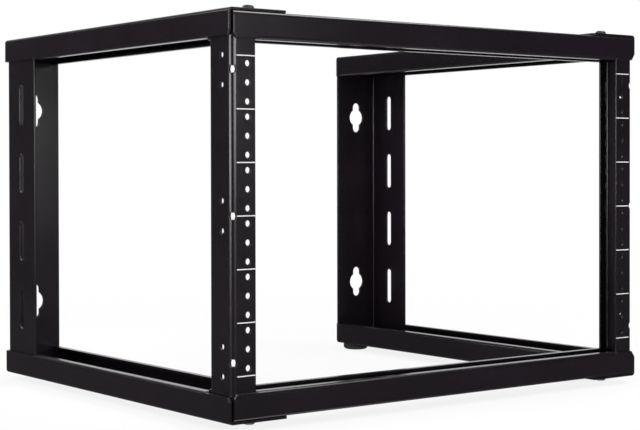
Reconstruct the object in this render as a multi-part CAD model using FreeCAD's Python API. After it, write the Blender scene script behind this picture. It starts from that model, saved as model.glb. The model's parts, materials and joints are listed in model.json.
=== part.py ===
"""Wall-mount open frame rack, 6 units: two side frames joined by a front rail at the top and one at the bottom.

Millimetres. The front faces -Y, the wall is at +Y, Z is up, and the floor is at Z = 0.
The sheet pieces are swept from bent profiles; lower right pieces are modelled and the others are mirror copies.
"""
import math
import os

import FreeCAD
import Part

V = FreeCAD.Vector
ALONG_X = V(1, 0, 0)
ALONG_Y = V(0, 1, 0)
ALONG_Z = V(0, 0, 1)

# Overall size
OUTER_WIDTH = 505.0
DEPTH = 410.0
FRAME_HEIGHT = 346.0
FOOT_HEIGHT = 7.0
RAIL_SHEET = 2.5
POST_SHEET = 2.0
BEND_INNER = 1.0
FRONT_POST_BEND_INNER = 2.6

# Rails
RAIL_HEIGHT = 23.5
RAIL_LIP = 9.0
SIDE_RAIL_WIDTH = 62.0
FRONT_RAIL_DEPTH = 39.2
FRONT_RAIL_LENGTH = 497.0
WEB_END_SETBACK = 0.8
FLAT_FLANGE_DROP = 0.6
FLANGE_CORNER_CUT = 2.6
FLANGE_CORNER_RISE = 3.8
SIDE_FLANGE_SETBACK = 2.0
PLATE_END_SETBACK = 2.5
END_TAB_MARGIN = 3.7
LIP_END_CUT = 3.0
NOTCH = 1.5

# Rack pattern
UNIT = 44.45
UNITS = 6
RACK_HOLE_SPAN = 465.1
RACK_HOLE_D = 5.5
RACK_HOLE_HEIGHTS = (6.35, 22.225, 38.1)

# Front posts
POST_FREE_EDGE_X = 225.0
FRONT_POST_INSET = 1.0
POST_SIDE_DEPTH = 34.1
POST_RETURN_LIP = 10.2
POST_END_GAP = 1.2
CORNER_HOLE_D = 6.0
CORNER_HOLE_SETBACK = 1.55
CORNER_HOLE_INSET = 11.5
SIDE_HOLE_D = 5.2
SIDE_HOLE_DEPTH = 14.7
SIDE_HOLE_PITCH = 25.0

# Rear posts
REAR_POST_GAP = 4.3
REAR_POST_SIDE = 58.4
REAR_POST_BACK = 58.5
KEYHOLE_X = 220.5
KEYHOLE_PITCH = 200.0
KEYHOLE_D = 20.5
KEYHOLE_SLOT_WIDTH = 10.6
KEYHOLE_LENGTH = 35.4
SIDE_SLOT_FROM_BACK = 30.0
SIDE_SLOT_COUNT = 4
SIDE_SLOT_PITCH = 70.0
SIDE_SLOT_LENGTH = 41.0
SIDE_SLOT_WIDTH = 8.0

# Screws, nuts and feet
SCREW_X = 220.5
SCREW_DEPTH = 18.8
SCREW_HOLE_D = 6.6
SCREW_HEAD_D = 10.5
SCREW_HEAD_HEIGHT = 4.4
SCREW_HEAD_ROUNDING = 2.7
SCREW_SOCKET_ACROSS = 4.0
SCREW_SOCKET_DEPTH = 2.2
SCREW_SHANK_D = 5.8
SCREW_LENGTH = 12.0
NUT_BORE_D = 6.0
NUT_ACROSS_FLATS = 10.0
NUT_HEIGHT = 5.0
FOOT_X = 207.0
FOOT_FROM_REAR = 20.5
FOOT_D = 29.0
FOOT_ROUNDING = 4.0

# Derived places
X_OUT = OUTER_WIDTH / 2
X_IN = X_OUT - SIDE_RAIL_WIDTH
X_POST = X_OUT - RAIL_SHEET
X_FRONT_POST = X_POST - FRONT_POST_INSET
Y_FRONT = -DEPTH / 2
Y_REAR = DEPTH / 2
Y_POST = Y_FRONT + RAIL_SHEET
Y_POST_BACK = Y_POST + POST_SIDE_DEPTH
Y_REAR_POST = Y_REAR - REAR_POST_GAP
Y_REAR_POST_FRONT = Y_REAR_POST - REAR_POST_SIDE
Y_SCREW = Y_FRONT + SCREW_DEPTH
Z_LOW = FOOT_HEIGHT
Z_HIGH = FOOT_HEIGHT + FRAME_HEIGHT
Z_MID = (Z_LOW + Z_HIGH) / 2
Z_UNIT_LOW = Z_MID - UNITS * UNIT / 2


def rounded_path(points, radius):
    """The edges of an open path whose corners are rounded."""
    edges = []
    start = points[0]
    for before, corner, after in zip(points, points[1:], points[2:]):
        back = (before - corner).normalize()
        ahead = (after - corner).normalize()
        half = back.getAngle(ahead) / 2
        first = corner + back * (radius / math.tan(half))
        last = corner + ahead * (radius / math.tan(half))
        middle = corner + (back + ahead).normalize() * (radius / math.sin(half) - radius)
        edges.append(Part.makeLine(start, first))
        edges.append(Part.Arc(first, middle, last).toShape())
        start = last
    edges.append(Part.makeLine(start, points[-1]))
    return edges


def inner_path(points, sheet, axis):
    """The same path on the inner face of the sheet, one sheet thickness inside every bend."""
    turn = (points[1] - points[0]).cross(points[2] - points[1]).dot(axis)
    side = axis if turn > 0 else axis * -1
    inward = [side.cross(b - a).normalize() for a, b in zip(points, points[1:])]
    inner = [points[0] + inward[0] * sheet]
    for corner, n0, n1 in zip(points[1:-1], inward, inward[1:]):
        inner.append(corner + (n0 + n1) * (sheet / (1 + n0.dot(n1))))
    inner.append(points[-1] + inward[-1] * sheet)
    return inner


def bent_sheet(points, sheet, axis, length, inner_radius=BEND_INNER):
    """A bent sheet: its outer face follows the points, and the profile is swept along the axis."""
    inner = inner_path(points, sheet, axis)
    edges = rounded_path(points, inner_radius + sheet)
    edges.append(Part.makeLine(points[-1], inner[-1]))
    edges += rounded_path(inner, inner_radius)
    edges.append(Part.makeLine(inner[0], points[0]))
    wire = Part.Wire(Part.__sortEdges__(edges))
    return Part.Face(wire).extrude(axis * length)


def prism(corners, sweep):
    """A prism on a polygon of points."""
    return Part.Face(Part.makePolygon(corners + [corners[0]])).extrude(sweep)


def joined(shapes):
    """Several shapes as one."""
    whole = shapes[0]
    for shape in shapes[1:]:
        whole = whole.fuse(shape)
    return whole


def drilled(shape, diameter, depth, centres, axis):
    """The shape with round holes through a sheet, each centred on the sheet's face and bored along the axis."""
    for centre in centres:
        shape = shape.cut(Part.makeCylinder(diameter / 2, depth + 2, centre - axis, axis))
    return shape


def upright_slot(at, normal, width, length, depth):
    """An upright slot with round ends, from the sheet's face along its normal."""
    across = ALONG_Z.cross(normal) * (width / 2)
    up = ALONG_Z * ((length - width) / 2)
    top = Part.Arc(at + up + across, at + up + ALONG_Z * (width / 2), at + up - across).toShape()
    bottom = Part.Arc(at - up - across, at - up - ALONG_Z * (width / 2), at - up + across).toShape()
    left = Part.makeLine(at + up - across, at - up - across)
    right = Part.makeLine(at - up + across, at + up + across)
    face = Part.Face(Part.Wire([top, left, bottom, right]))
    face.translate(normal * -1)
    return face.extrude(normal * (depth + 2))


def side_rail():
    """The right bottom side rail: a lipped channel with a flat corner plate in front and a bent tab at the wall."""
    x0 = X_IN
    x1 = X_OUT
    z0 = Z_LOW
    z1 = Z_LOW + RAIL_HEIGHT
    flat = z1 - FLAT_FLANGE_DROP
    front = Y_FRONT + SIDE_FLANGE_SETBACK
    plate_end = Y_FRONT + FRONT_RAIL_DEPTH + NOTCH
    outer_lip_end = Y_REAR_POST_FRONT - NOTCH
    inner_lip_end = Y_REAR_POST - 6.0
    inner_flange_end = Y_REAR_POST - POST_SHEET
    tab_root = Y_REAR - RAIL_SHEET - BEND_INNER

    # Profiles from the lip on the inner side round to the lip on the outer side
    inner_lip = [(x0 + RAIL_LIP, z1), (x0, z1)]
    outer_lip = [(x1, z1), (x1 - RAIL_LIP, z1)]
    web = [(x0, z0), (x1, z0)]
    stretches = (
        (front, plate_end, [(x0 + PLATE_END_SETBACK, z0), (x1, z0), (x1, flat)]),
        (plate_end, outer_lip_end, inner_lip + web + outer_lip),
        (outer_lip_end, inner_lip_end, inner_lip + web + [(x1, flat)]),
        (inner_lip_end, inner_flange_end, [(x0, flat)] + web + [(x1, flat)]),
        (inner_flange_end, tab_root, [(x0 + RAIL_SHEET + BEND_INNER, z0), (x1, z0), (x1, flat)]),
    )
    parts = []
    for y0, y1, profile in stretches:
        parts.append(bent_sheet([V(x, y0, z) for x, z in profile], RAIL_SHEET, ALONG_Y, y1 - y0))
    tab_x = x0 + END_TAB_MARGIN
    tab = [V(tab_x, tab_root - 6, z0), V(tab_x, Y_REAR, z0), V(tab_x, Y_REAR, flat)]
    parts.append(bent_sheet(tab, RAIL_SHEET, ALONG_X, SIDE_RAIL_WIDTH - 2 * END_TAB_MARGIN))
    rail = joined(parts)

    # Slanted ends of the lips
    under = z1 - RAIL_SHEET - 0.5
    for x_edge, side, y_end, step in (
        (x1 - RAIL_LIP, 1, plate_end, 1),
        (x1 - RAIL_LIP, 1, outer_lip_end, -1),
        (x0 + RAIL_LIP, -1, plate_end, 1),
    ):
        tip = V(x_edge, y_end, under)
        corners = [tip, tip + ALONG_X * (side * LIP_END_CUT), tip + ALONG_Y * (step * LIP_END_CUT)]
        rail = rail.cut(prism(corners, ALONG_Z * (RAIL_SHEET + 1)))

    # The free front corner of the outer flange
    tip = V(x1 - RAIL_SHEET - 1, front, flat)
    corners = [tip, tip + ALONG_Y * FLANGE_CORNER_CUT, tip - ALONG_Z * FLANGE_CORNER_RISE]
    rail = rail.cut(prism(corners, ALONG_X * (RAIL_SHEET + 2)))

    rail = drilled(rail, SCREW_HOLE_D, RAIL_SHEET, [V(SCREW_X, Y_SCREW, z0)], ALONG_Z)
    return rail.removeSplitter()


def front_rail():
    """The bottom front rail: a lipped channel that lies on the corner plates of the side rails."""
    x1 = FRONT_RAIL_LENGTH / 2
    y0 = Y_FRONT
    y1 = Y_FRONT + FRONT_RAIL_DEPTH
    z0 = Z_LOW + RAIL_SHEET
    z1 = z0 + RAIL_HEIGHT
    flat = z1 - FLAT_FLANGE_DROP
    outer_lip_end = POST_FREE_EDGE_X - 1.0
    inner_lip_end = X_FRONT_POST - POST_RETURN_LIP - NOTCH
    web_end = x1 - WEB_END_SETBACK

    # Profiles from the lip on the front round to the lip on the inner side
    front_lip = [(y0 + RAIL_LIP, z1), (y0, z1)]
    inner_lip = [(y1, z1), (y1 - RAIL_LIP, z1)]
    web = [(y0, z0), (y1, z0)]
    stretches = (
        (0.0, outer_lip_end, front_lip + web + inner_lip),
        (outer_lip_end, inner_lip_end, [(y0, flat)] + web + inner_lip),
        (inner_lip_end, web_end, [(y0, flat)] + web + [(y1, flat)]),
        (web_end, x1, [(y0, flat), (y0, z0), (y0 + RAIL_SHEET + BEND_INNER + 0.1, z0)]),
    )
    parts = []
    for a, b, profile in stretches:
        parts.append(bent_sheet([V(a, y, z) for y, z in profile], RAIL_SHEET, ALONG_X, b - a))
    half = joined(parts)

    # Slanted ends of the lips
    under = z1 - RAIL_SHEET - 0.5
    for end, y_edge, step in ((outer_lip_end, y0 + RAIL_LIP, -1), (inner_lip_end, y1 - RAIL_LIP, 1)):
        tip = V(end, y_edge, under)
        corners = [tip, tip + ALONG_Y * (step * LIP_END_CUT), tip - ALONG_X * LIP_END_CUT]
        half = half.cut(prism(corners, ALONG_Z * (RAIL_SHEET + 1)))

    # The free end corner of the outer flange
    tip = V(x1, y0 - 1, flat)
    corners = [tip, tip - ALONG_X * FLANGE_CORNER_CUT, tip - ALONG_Z * FLANGE_CORNER_RISE]
    half = half.cut(prism(corners, ALONG_Y * (RAIL_SHEET + 2)))

    half = drilled(half, SCREW_HOLE_D, RAIL_SHEET, [V(SCREW_X, Y_SCREW, z0)], ALONG_Z)
    return half.fuse(mirrored_left(half)).removeSplitter()


def front_post():
    """The right front post: rack flange, side flange and return lip bent from one sheet with wide bends."""
    low = Z_LOW + 2 * RAIL_SHEET + POST_END_GAP
    high = Z_HIGH - 2 * RAIL_SHEET - POST_END_GAP
    profile = (
        (POST_FREE_EDGE_X, Y_POST),
        (X_FRONT_POST, Y_POST),
        (X_FRONT_POST, Y_POST_BACK),
        (X_FRONT_POST - POST_RETURN_LIP, Y_POST_BACK),
    )
    path = [V(x, y, low) for x, y in profile]
    post = bent_sheet(path, POST_SHEET, ALONG_Z, high - low, FRONT_POST_BEND_INNER)

    # Rack holes
    centres = []
    for unit in range(UNITS):
        for height in RACK_HOLE_HEIGHTS:
            centres.append(V(RACK_HOLE_SPAN / 2, Y_POST, Z_UNIT_LOW + unit * UNIT + height))
    post = drilled(post, RACK_HOLE_D, POST_SHEET, centres, ALONG_Y)

    # Holes punched across the bent corner, and pairs of holes through the side flange
    reach = UNITS * UNIT / 2 - CORNER_HOLE_INSET
    levels = [ALONG_Z * level for level in (-reach, 0.0, reach)]
    corners = [V(X_FRONT_POST, Y_POST, Z_MID) + level for level in levels]
    front_centres = [corner - ALONG_X * CORNER_HOLE_SETBACK for corner in corners]
    side_centres = [corner + ALONG_Y * CORNER_HOLE_SETBACK for corner in corners]
    post = drilled(post, CORNER_HOLE_D, POST_SHEET + BEND_INNER, front_centres, ALONG_Y)
    post = drilled(post, CORNER_HOLE_D, POST_SHEET + BEND_INNER, side_centres, ALONG_X * -1)
    pair = [ALONG_Z * offset for offset in (-SIDE_HOLE_PITCH / 2, SIDE_HOLE_PITCH / 2)]
    centres = [corner + ALONG_Y * SIDE_HOLE_DEPTH + offset for corner in corners for offset in pair]
    post = drilled(post, SIDE_HOLE_D, POST_SHEET, centres, ALONG_X * -1)
    return post.removeSplitter()


def rear_post():
    """The right rear post: an angle with two keyholes to the wall and four slots in its side."""
    low = Z_LOW + RAIL_SHEET + POST_END_GAP
    high = Z_HIGH - RAIL_SHEET - POST_END_GAP
    profile = ((X_POST - REAR_POST_BACK, Y_REAR_POST), (X_POST, Y_REAR_POST), (X_POST, Y_REAR_POST_FRONT))
    post = bent_sheet([V(x, y, low) for x, y in profile], POST_SHEET, ALONG_Z, high - low)

    for offset in (-KEYHOLE_PITCH / 2, KEYHOLE_PITCH / 2):
        at = V(KEYHOLE_X, Y_REAR_POST, Z_MID + offset)
        post = drilled(post, KEYHOLE_D, POST_SHEET, [at], ALONG_Y * -1)
        post = post.cut(upright_slot(at, ALONG_Y * -1, KEYHOLE_SLOT_WIDTH, KEYHOLE_LENGTH, POST_SHEET))
    for count in range(SIDE_SLOT_COUNT):
        z = Z_MID + (count - (SIDE_SLOT_COUNT - 1) / 2) * SIDE_SLOT_PITCH
        at = V(X_POST, Y_REAR_POST - SIDE_SLOT_FROM_BACK, z)
        post = post.cut(upright_slot(at, ALONG_X * -1, SIDE_SLOT_WIDTH, SIDE_SLOT_LENGTH, POST_SHEET))
    return post.removeSplitter()


def hexagon(centre, across_flats, height):
    """An upright hexagonal prism."""
    corner = ALONG_X * (across_flats / math.sqrt(3))
    turns = [FreeCAD.Rotation(ALONG_Z, 60.0 * count) for count in range(6)]
    return prism([centre + turn.multVec(corner) for turn in turns], ALONG_Z * height)


def corner_screw():
    """The right bottom corner screw: a low rounded head with a hexagon socket below the web, and a plain shank."""
    tip = Z_LOW - SCREW_HEAD_HEIGHT
    r = SCREW_HEAD_D / 2
    bend = SCREW_HEAD_ROUNDING
    slope = bend * math.sqrt(0.5)
    profile = [
        Part.makeLine(V(0, 0, tip), V(r - bend, 0, tip)),
        Part.Arc(V(r - bend, 0, tip), V(r - bend + slope, 0, tip + bend - slope), V(r, 0, tip + bend)).toShape(),
        Part.makePolygon([V(r, 0, tip + bend), V(r, 0, Z_LOW), V(SCREW_SHANK_D / 2, 0, Z_LOW),
                          V(SCREW_SHANK_D / 2, 0, Z_LOW + SCREW_LENGTH), V(0, 0, Z_LOW + SCREW_LENGTH), V(0, 0, tip)]),
    ]
    screw = Part.Face(Part.Wire(profile)).revolve(V(0, 0, 0), ALONG_Z, 360)
    screw = screw.cut(hexagon(V(0, 0, tip - 1), SCREW_SOCKET_ACROSS, SCREW_SOCKET_DEPTH + 1))
    screw.translate(V(SCREW_X, Y_SCREW, 0))
    return screw


def weld_nut():
    """The right bottom weld nut, on the inside of the front rail's web."""
    z = Z_LOW + 2 * RAIL_SHEET
    nut = hexagon(V(SCREW_X, Y_SCREW, z), NUT_ACROSS_FLATS, NUT_HEIGHT)
    return drilled(nut, NUT_BORE_D, NUT_HEIGHT, [V(SCREW_X, Y_SCREW, z)], ALONG_Z)


def rear_foot():
    """The right rear foot: a low round pad."""
    foot = Part.makeCylinder(FOOT_D / 2, FOOT_HEIGHT, V(FOOT_X, Y_REAR - FOOT_FROM_REAR, 0))
    return foot.makeFillet(FOOT_ROUNDING, [edge for edge in foot.Edges if edge.BoundBox.ZMax < 0.1])


def mirrored_left(shape):
    """The left-hand copy of a right-hand piece."""
    return shape.mirror(V(0, 0, 0), ALONG_X)


def mirrored_top(shape):
    """The upper copy of a lower piece."""
    return shape.mirror(V(0, 0, Z_MID), ALONG_Z)


def save(name, shape):
    """Write one solid to its file."""
    if len(shape.Solids) != 1 or not shape.Solids[0].isValid():
        raise ValueError("%s has %d solids" % (name, len(shape.Solids)))
    shape.Solids[0].exportStep("parts/%s.step" % name)


os.makedirs("parts", exist_ok=True)
for piece, make in (("rail", side_rail), ("screw", corner_screw), ("nut", weld_nut)):
    low_right = make()
    save("right_bottom_" + piece, low_right)
    save("left_bottom_" + piece, mirrored_left(low_right))
    save("right_top_" + piece, mirrored_top(low_right))
    save("left_top_" + piece, mirrored_left(mirrored_top(low_right)))
for piece, make in (("front_post", front_post), ("rear_post", rear_post), ("rear_foot", rear_foot)):
    right = make()
    save("right_" + piece, right)
    save("left_" + piece, mirrored_left(right))
lower = front_rail()
save("front_bottom_rail", lower)
save("front_top_rail", mirrored_top(lower))
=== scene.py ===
"""Looks of the wall-mount open frame rack.

Satin black powder coat, printed unit lines, screw threads and studio light. Metres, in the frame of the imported
part: the front faces -Y, the wall is at +Y and the floor is at Z = 0.
"""

import json
import math

import bmesh
import bpy
from mathutils import Matrix, Vector


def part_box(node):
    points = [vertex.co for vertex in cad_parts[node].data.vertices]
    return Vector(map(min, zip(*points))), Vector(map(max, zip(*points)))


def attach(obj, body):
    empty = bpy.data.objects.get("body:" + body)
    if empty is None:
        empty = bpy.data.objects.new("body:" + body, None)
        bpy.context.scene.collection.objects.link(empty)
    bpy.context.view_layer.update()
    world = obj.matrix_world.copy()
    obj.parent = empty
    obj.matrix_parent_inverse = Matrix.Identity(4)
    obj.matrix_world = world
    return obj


SIDES = ("left", "right")
LEVELS = ("top", "bottom")
ROOT = "root"

# Camera: the photograph's frame in pixels, and the view fitted to the rack's holes, edges and outline
IMAGE_WIDTH = 640
IMAGE_HEIGHT = 430
FOCAL_PX = 1508.0
CENTRE_PX = (239.7, 184.2)
CAMERA_AT = (-0.9669, -1.2196, 0.2217)
CAMERA_AZIMUTH = 35.51
CAMERA_PITCH = -0.70
CAMERA_ROLL = 0.15
SENSOR_WIDTH = 36.0

# Studio: the level of the dim room, and the cosines to the backdrop's middle where it begins and is full
WHITE = (1, 1, 1, 1)
ROOM_LEVEL = 0.05
SWEEP_FROM = 0.5
SWEEP_TO = 1.0

# Floor: its size and colour, and the distances over which its shadow fades into white
FLOOR_RADIUS = 40.0
FLOOR_SEGMENTS = 96
FLOOR_COLOUR = (0.85, 0.85, 0.85, 1)
SHADOW_FROM = 0.3
SHADOW_TO = 1.3
SHADOW_WHITE = 0.85

# Floor in reflections: its dim level near the rack, and the distances over which the backdrop takes over
FLOOR_LEVEL = 0.10
NEAR_FROM = 0.3
NEAR_TO = 0.65

# Lamps: the point the softboxes face, and the pale card on the floor
LAMP_AIM = Vector((0, 0, 0.18))
CARD_WIDTH = 1.6
CARD_DEPTH = 1.3
CARD_AT = (0.1, -0.2, 0.001)
CARD_SPREAD = 90.0
CARD_POWER = 6.0

# Printed unit lines
UNIT = 0.04445
UNITS = 6
LINE_HEIGHT = 0.0009
LINE_FILM = 0.00006
LINE_OUTER_GAP = 0.0048
LINE_INNER_GAP = 0.0001
LINE_CORNER = LINE_HEIGHT * 0.3
LINE_CORNER_STEPS = 3

# Screw threads, which run out over a sixth of their length at each end
THREAD_PITCH = 0.001
THREAD_ROOT_R = 0.0028
THREAD_CREST_R = 0.00298
THREAD_ROOT_HALF = THREAD_PITCH * 0.32
THREAD_CREST_HALF = THREAD_ROOT_HALF * 0.2
THREAD_RUN_OUT = 6.0
THREAD_STEPS = 48

# Colour sockets of a mix node, by number because they share their names with its other sockets
MIX_FIRST = 6
MIX_SECOND = 7
MIX_RESULT = 2


def feed(node, inputs):
    """Give a node its inputs: a socket is linked, any other value is set."""
    for key, value in inputs.items():
        if isinstance(value, bpy.types.NodeSocket):
            node.id_data.links.new(value, node.inputs[key])
        else:
            node.inputs[key].default_value = value


def node_maker(tree):
    """A function that adds a node with its inputs and settings to a node tree."""
    def add(kind, inputs=None, **settings):
        node = tree.nodes.new(kind)
        for key, value in settings.items():
            setattr(node, key, value)
        feed(node, inputs or {})
        return node

    return add


def node_material(name):
    """A new node material with its shader and its maker of nodes."""
    material = bpy.data.materials.new(name)
    material.use_nodes = True
    tree = material.node_tree
    return material, tree.nodes["Principled BSDF"], node_maker(tree)


def noise(add, scale, detail, roughness=0.5):
    """Noise that stays with the object."""
    place = add("ShaderNodeTexCoord").outputs["Object"]
    inputs = {"Vector": place, "Scale": scale, "Detail": detail, "Roughness": roughness}
    return add("ShaderNodeTexNoise", inputs).outputs["Fac"]


def colour_ramp(add, factor, stops):
    """A colour that follows a factor through the given (place, colour) stops."""
    node = add("ShaderNodeValToRGB", {"Fac": factor})
    elements = node.color_ramp.elements
    for element, (place, colour) in zip(elements, (stops[0], stops[-1])):
        element.position, element.color = place, (*colour, 1)
    for place, colour in stops[1:-1]:
        elements.new(place).color = (*colour, 1)
    return node.outputs["Color"]


def map_range(add, value, low, high, start=0.0, end=1.0, kind="LINEAR"):
    """A value between start and end, mapped to low and high."""
    inputs = {"Value": value, "From Min": start, "From Max": end, "To Min": low, "To Max": high}
    return add("ShaderNodeMapRange", inputs, interpolation_type=kind).outputs["Result"]


def rounded_edges(add, radius, samples):
    """A normal that rounds the sharp edges."""
    return add("ShaderNodeBevel", {"Radius": radius}, samples=samples).outputs["Normal"]


def bump(add, height, strength, distance, **inputs):
    """A normal with fine relief."""
    relief = {"Strength": strength, "Distance": distance, "Height": height}
    return add("ShaderNodeBump", {**relief, **inputs}).outputs["Normal"]


def powder_coat():
    """Satin black powder coat: fine grain, a little cloudiness, and softly rounded sheet edges."""
    material, shader, add = node_material("powder_coat_satin")
    grain = noise(add, 1400.0, 3.0, 0.6)
    cloud = noise(add, 14.0, 3.0, 0.55)
    speck = colour_ramp(add, grain, (
        (0.30, (0.0048, 0.0032, 0.0050)), (0.55, (0.0068, 0.0046, 0.0070)), (0.75, (0.0120, 0.0094, 0.0124))))
    tint = colour_ramp(add, cloud, ((0.35, (0.88, 0.88, 0.84)), (0.65, (1.10, 1.04, 1.14))))
    colour = add("ShaderNodeMix", data_type="RGBA", blend_type="MULTIPLY")
    feed(colour, {"Factor": 1.0, MIX_FIRST: speck, MIX_SECOND: tint})
    edges = rounded_edges(add, radius=0.0010, samples=8)
    feed(shader, {
        "Base Color": colour.outputs[MIX_RESULT],
        "Roughness": map_range(add, cloud, 0.205, 0.245, start=0.3, end=0.7),
        "Normal": bump(add, grain, strength=0.08, distance=0.0002, Normal=edges),
        "Specular IOR Level": 0.5,
    })
    return material


def coated_screw():
    """Black coated steel of the screws."""
    material, shader, add = node_material("screw_black_coat")
    grain = noise(add, 2200.0, 2.0)
    edges = rounded_edges(add, radius=0.0004, samples=6)
    feed(shader, {
        "Base Color": colour_ramp(add, grain, ((0.3, (0.010, 0.010, 0.011)), (0.7, (0.024, 0.024, 0.026)))),
        "Roughness": map_range(add, grain, 0.26, 0.40),
        "Normal": bump(add, grain, strength=0.1, distance=0.0001, Normal=edges),
    })
    return material


def zinc_steel():
    """Zinc-plated steel of the weld nuts."""
    material, shader, add = node_material("nut_zinc")
    stain = noise(add, 420.0, 4.0, 0.6)
    feed(shader, {
        "Base Color": colour_ramp(add, stain, ((0.3, (0.30, 0.29, 0.27)), (0.7, (0.52, 0.52, 0.51)))),
        "Roughness": map_range(add, stain, 0.28, 0.50),
        "Normal": rounded_edges(add, radius=0.0004, samples=6),
        "Metallic": 1.0,
    })
    return material


def foot_rubber():
    """Matt black rubber of the feet."""
    material, shader, add = node_material("foot_matt_rubber")
    grain = noise(add, 900.0, 4.0, 0.65)
    feed(shader, {
        "Base Color": colour_ramp(add, grain, ((0.3, (0.008, 0.008, 0.008)), (0.7, (0.018, 0.018, 0.018)))),
        "Roughness": map_range(add, grain, 0.65, 0.85),
        "Normal": bump(add, grain, strength=0.25, distance=0.0002),
        "Specular IOR Level": 0.3,
    })
    return material


def white_ink():
    """White printing ink, a little thin in places."""
    material, shader, add = node_material("white_ink")
    grain = noise(add, 1600.0, 3.0)
    feed(shader, {
        "Base Color": colour_ramp(add, grain, ((0.30, (0.52, 0.52, 0.51)), (0.60, (0.68, 0.68, 0.67)))),
        "Roughness": 0.6,
        "Normal": bump(add, grain, strength=0.1, distance=0.0001),
        "Specular IOR Level": 0.3,
    })
    return material


def mesh_from(build):
    """A mesh filled by a function that works on a bmesh."""
    work = bmesh.new()
    build(work)
    bmesh.ops.recalc_face_normals(work, faces=work.faces)
    mesh = bpy.data.meshes.new("piece")
    work.to_mesh(mesh)
    work.free()
    return mesh


def new_object(name, build, material):
    """A new object in the scene, filled by a function that works on a bmesh."""
    mesh = mesh_from(build)
    mesh.materials.append(material)
    piece = bpy.data.objects.new(name, mesh)
    bpy.context.collection.objects.link(piece)
    return piece


def unit_lines(record, side, material):
    """The printed lines between the rack units on one front post."""
    low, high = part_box(side + "_front_post")
    if side == "right":
        start, end = low.x + LINE_INNER_GAP, high.x - LINE_OUTER_GAP
    else:
        start, end = low.x + LINE_OUTER_GAP, high.x - LINE_INNER_GAP
    first_unit = next(mount for mount in record["mounts"] if mount["name"] == "rack_unit_1")
    z_low = first_unit["pos_m"][2] - UNIT / 2
    size = (end - start, 2 * LINE_FILM, LINE_HEIGHT)

    def build(work):
        for count in range(UNITS + 1):
            centre = Vector(((start + end) / 2, low.y, z_low + count * UNIT))
            made = bmesh.ops.create_cube(work, size=1.0, matrix=Matrix.LocRotScale(centre, None, size))
            edges = dict.fromkeys(edge for vert in made["verts"] for edge in vert.link_edges)
            corners = [edge for edge in edges if abs(edge.verts[0].co.y - edge.verts[1].co.y) > LINE_FILM]
            bmesh.ops.bevel(work, geom=corners, offset=LINE_CORNER, segments=LINE_CORNER_STEPS, affect="EDGES")

    piece = new_object(side + "_unit_lines", build, material)
    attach(piece, ROOT)


def screw_thread(side, level, material):
    """The thread on the end of one corner screw that stands out of its nut."""
    name = side + "_" + level + "_screw"
    low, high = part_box(name)
    nut_low, nut_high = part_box(side + "_" + level + "_nut")
    up = level == "bottom"
    start, end = (nut_high.z, high.z) if up else (nut_low.z, low.z)
    lowest, highest = sorted((start, end))
    axis = Vector(((low.x + high.x) / 2, (low.y + high.y) / 2, 0))
    direction = 1 if up else -1
    length = abs(end - start)
    total = int(length / THREAD_PITCH * THREAD_STEPS)

    def ring(work, step):
        angle = 2 * math.pi * step / THREAD_STEPS
        z = start + direction * length * step / total
        taper = min(1.0, THREAD_RUN_OUT * step / total, THREAD_RUN_OUT * (total - step) / total)
        crest = THREAD_ROOT_R + (THREAD_CREST_R - THREAD_ROOT_R) * taper
        out = Vector((math.cos(angle), math.sin(angle), 0))
        corners = ((THREAD_ROOT_R, -THREAD_ROOT_HALF), (crest, -THREAD_CREST_HALF),
                   (crest, THREAD_CREST_HALF), (THREAD_ROOT_R, THREAD_ROOT_HALF))
        points = []
        for radius, offset in corners:
            height = min(max(z + direction * offset, lowest), highest)
            points.append(work.verts.new(axis + out * radius + Vector((0, 0, height))))
        return points

    def build(work):
        before = None
        for step in range(total + 1):
            now = ring(work, step)
            if before:
                for a in range(len(now)):
                    b = (a + 1) % len(now)
                    work.faces.new((before[a], before[b], now[b], now[a]))
            else:
                work.faces.new(now)
            before = now
        work.faces.new(before[::-1])

    piece = new_object(name + "_thread", build, material)
    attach(piece, ROOT)
    return piece


def dress(frame):
    """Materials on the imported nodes, and the pieces that are added to them."""
    finishes = {
        "powder_coat": powder_coat(),
        "black_screw": coated_screw(),
        "plain_steel": zinc_steel(),
        "foot_rubber": foot_rubber(),
    }
    for subpart in frame["record"]["subparts"]:
        node = frame["nodes"][subpart["node"]]
        for place in node.material_slots:
            place.material = finishes[subpart["material_slot"]]
    ink = white_ink()
    screw = finishes["black_screw"]
    for side in SIDES:
        unit_lines(frame["record"], side, ink)
        for level in LEVELS:
            screw_thread(side, level, screw)


def largest(add, first, *others):
    """The largest of several values."""
    result = first
    for value in others:
        result = add("ShaderNodeMath", {0: result, 1: value}, operation="MAXIMUM").outputs[0]
    return result


def towards_backdrop(add, vector):
    """How far a vector goes towards the middle of the backdrop."""
    azimuth = math.radians(CAMERA_AZIMUTH)
    middle = (math.sin(azimuth), math.cos(azimuth), 0)
    return add("ShaderNodeVectorMath", {0: vector, 1: middle}, operation="DOT_PRODUCT").outputs["Value"]


def surround(add, direction):
    """The studio's level in a direction: a white backdrop behind the rack, and a dim room elsewhere."""
    return map_range(add, towards_backdrop(add, direction), ROOM_LEVEL, 1.0, SWEEP_FROM, SWEEP_TO, "SMOOTHSTEP")


def world_light():
    """The studio, plain white where the camera sees it."""
    world = bpy.data.worlds.new("studio")
    world.use_nodes = True
    bpy.context.scene.world = world
    add = node_maker(world.node_tree)
    level = surround(add, add("ShaderNodeTexCoord").outputs["Generated"])
    path = add("ShaderNodeLightPath").outputs
    strength = largest(add, level, path["Is Camera Ray"], path["Is Transmission Ray"])
    feed(world.node_tree.nodes["Background"], {"Color": WHITE, "Strength": strength})


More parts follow.
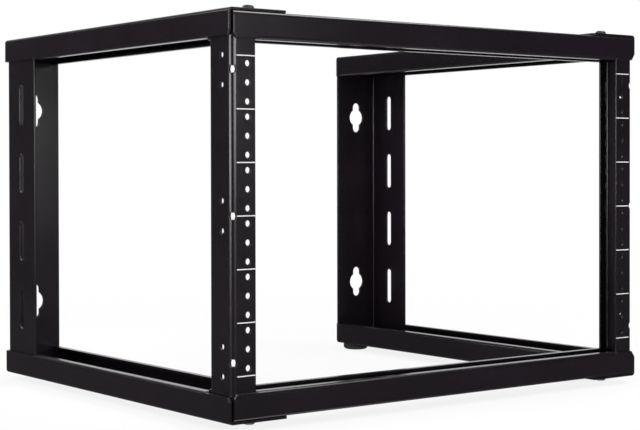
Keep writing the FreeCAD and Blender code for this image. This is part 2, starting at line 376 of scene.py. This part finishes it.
def floor_white():
    """White that keeps a soft shadow near the rack and runs into the studio further out."""
    material, shader, add = node_material("floor_white")
    feed(shader, {"Base Color": FLOOR_COLOUR, "Roughness": 1.0, "Specular IOR Level": 0.0})
    place = add("ShaderNodeTexCoord").outputs["Object"]
    distance = add("ShaderNodeVectorMath", {0: place}, operation="LENGTH").outputs["Value"]
    direction = add("ShaderNodeVectorMath", {0: place}, operation="NORMALIZE").outputs["Vector"]
    path = add("ShaderNodeLightPath").outputs
    seen = largest(add, path["Is Camera Ray"], path["Is Transmission Ray"])
    fade = map_range(add, distance, SHADOW_WHITE, 1.0, SHADOW_FROM, SHADOW_TO, "SMOOTHSTEP")
    share = add("ShaderNodeMath", {0: seen, 1: fade}, operation="MULTIPLY").outputs[0]
    away = towards_backdrop(add, place)
    level = map_range(add, away, FLOOR_LEVEL, surround(add, direction), NEAR_FROM, NEAR_TO, "SMOOTHSTEP")
    glow = add("ShaderNodeEmission", {"Strength": largest(add, level, seen)})
    mix = add("ShaderNodeMixShader", {
        "Fac": largest(add, share, path["Is Glossy Ray"]), 1: shader.outputs[0], 2: glow.outputs[0]})
    feed(material.node_tree.nodes["Material Output"], {"Surface": mix.outputs[0]})
    return material


def floor():
    """A round white floor."""
    def build(work):
        bmesh.ops.create_circle(work, cap_ends=True, segments=FLOOR_SEGMENTS, radius=FLOOR_RADIUS)

    plane = new_object("floor", build, floor_white())


def area_lamp(name, width, height, power):
    """A rectangular area lamp."""
    lamp = bpy.data.lights.new(name, "AREA")
    lamp.shape = "RECTANGLE"
    lamp.size = width
    lamp.size_y = height
    lamp.energy = power
    holder = bpy.data.objects.new(name, lamp)
    bpy.context.collection.objects.link(holder)
    return holder


def softbox(name, azimuth, elevation, distance, width, height, power):
    """An area lamp aimed at the middle of the rack; the azimuth turns from the front towards the left."""
    holder = area_lamp(name, width, height, power)
    a, e = math.radians(azimuth), math.radians(elevation)
    away = Vector((-math.sin(a) * math.cos(e), -math.cos(a) * math.cos(e), math.sin(e)))
    holder.location = LAMP_AIM + away * distance
    holder.rotation_euler = away.to_track_quat("Z", "Y").to_euler()


def bounce_card():
    """A pale card on the floor that lights the rack from below; only steep reflections see it."""
    holder = area_lamp("bounce_card", CARD_WIDTH, CARD_DEPTH, CARD_POWER)
    holder.data.spread = math.radians(CARD_SPREAD)
    holder.location = CARD_AT
    holder.rotation_euler = (math.pi, 0, 0)
    holder.visible_camera = False


def photo_camera():
    """The camera at the photograph's viewing angle."""
    azimuth = math.radians(CAMERA_AZIMUTH)
    pitch = math.radians(CAMERA_PITCH)
    roll = math.radians(CAMERA_ROLL)
    ahead = Vector((math.sin(azimuth) * math.cos(pitch), math.cos(azimuth) * math.cos(pitch), math.sin(pitch)))
    level_right = Vector((math.cos(azimuth), -math.sin(azimuth), 0))
    level_down = ahead.cross(level_right)
    right = level_right * math.cos(roll) + level_down * math.sin(roll)
    down = level_down * math.cos(roll) - level_right * math.sin(roll)
    data = bpy.data.cameras.new("photo_camera")
    data.sensor_width = SENSOR_WIDTH
    data.lens = FOCAL_PX * SENSOR_WIDTH / IMAGE_WIDTH
    data.shift_x = (IMAGE_WIDTH / 2 - CENTRE_PX[0]) / IMAGE_WIDTH
    data.shift_y = (CENTRE_PX[1] - IMAGE_HEIGHT / 2) / IMAGE_WIDTH
    camera = bpy.data.objects.new("photo_camera", data)
    camera.matrix_world = Matrix.Translation(CAMERA_AT) @ Matrix((right, -down, -ahead)).transposed().to_4x4()
    bpy.context.collection.objects.link(camera)
    bpy.context.scene.camera = camera


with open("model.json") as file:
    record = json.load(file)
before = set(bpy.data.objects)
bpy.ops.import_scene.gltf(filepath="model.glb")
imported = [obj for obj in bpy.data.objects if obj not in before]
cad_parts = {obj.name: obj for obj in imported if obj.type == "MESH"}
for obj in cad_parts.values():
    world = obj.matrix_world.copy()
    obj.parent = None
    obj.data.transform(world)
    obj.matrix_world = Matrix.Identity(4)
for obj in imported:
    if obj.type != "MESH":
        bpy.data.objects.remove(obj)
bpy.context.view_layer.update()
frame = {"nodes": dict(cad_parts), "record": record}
dress(frame)
world_light()
floor()
softbox("front_strip", azimuth=1.5, elevation=7.5, distance=2.6, width=2.2, height=0.5, power=31.0)
softbox("front_panel", azimuth=5.0, elevation=50.0, distance=2.6, width=2.4, height=1.6, power=24.0)
softbox("left_strip", azimuth=96.0, elevation=4.0, distance=2.6, width=2.0, height=0.5, power=29.0)
softbox("left_panel", azimuth=96.0, elevation=50.0, distance=2.6, width=2.4, height=1.6, power=24.0)
softbox("top_panel", azimuth=-72.0, elevation=64.0, distance=2.2, width=1.4, height=1.1, power=30.0)
softbox("back_panel", azimuth=132.0, elevation=33.0, distance=2.2, width=0.5, height=0.7, power=12.0)
bounce_card()
photo_camera()
bpy.context.scene.view_settings.view_transform = "Standard"
